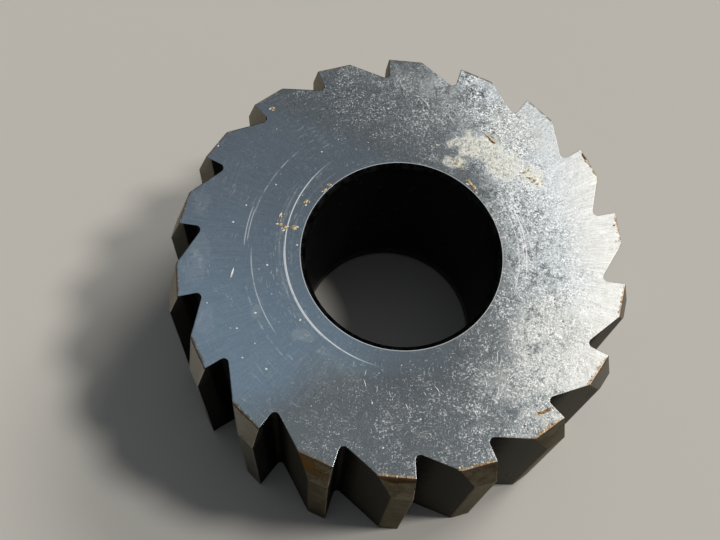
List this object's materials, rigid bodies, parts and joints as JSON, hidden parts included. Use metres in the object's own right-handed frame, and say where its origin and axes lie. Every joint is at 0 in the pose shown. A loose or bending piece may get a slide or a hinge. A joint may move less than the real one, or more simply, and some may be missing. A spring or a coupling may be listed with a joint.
{
  "type": "bottom bracket reamer",
  "caption": "Hardened steel ring cutter with straight relieved teeth, a tapered lead and a plain bore, for sizing the bore of a bicycle bottom bracket shell.",
  "frame": {"origin": "centre of the bore at the back face, which the ring rests on", "axes": "+Z along the bore towards the lead face with the tapered teeth; +X through a tooth tip"},
  "size_m": [0.042, 0.0416, 0.021],
  "materials": {
    "tool_steel": "ground and brushed, scuffed, with light rust along the edges"
  },
  "bodies": {
    "root": {"reamer_ring": "tool_steel"}
  },
  "joints": []
}
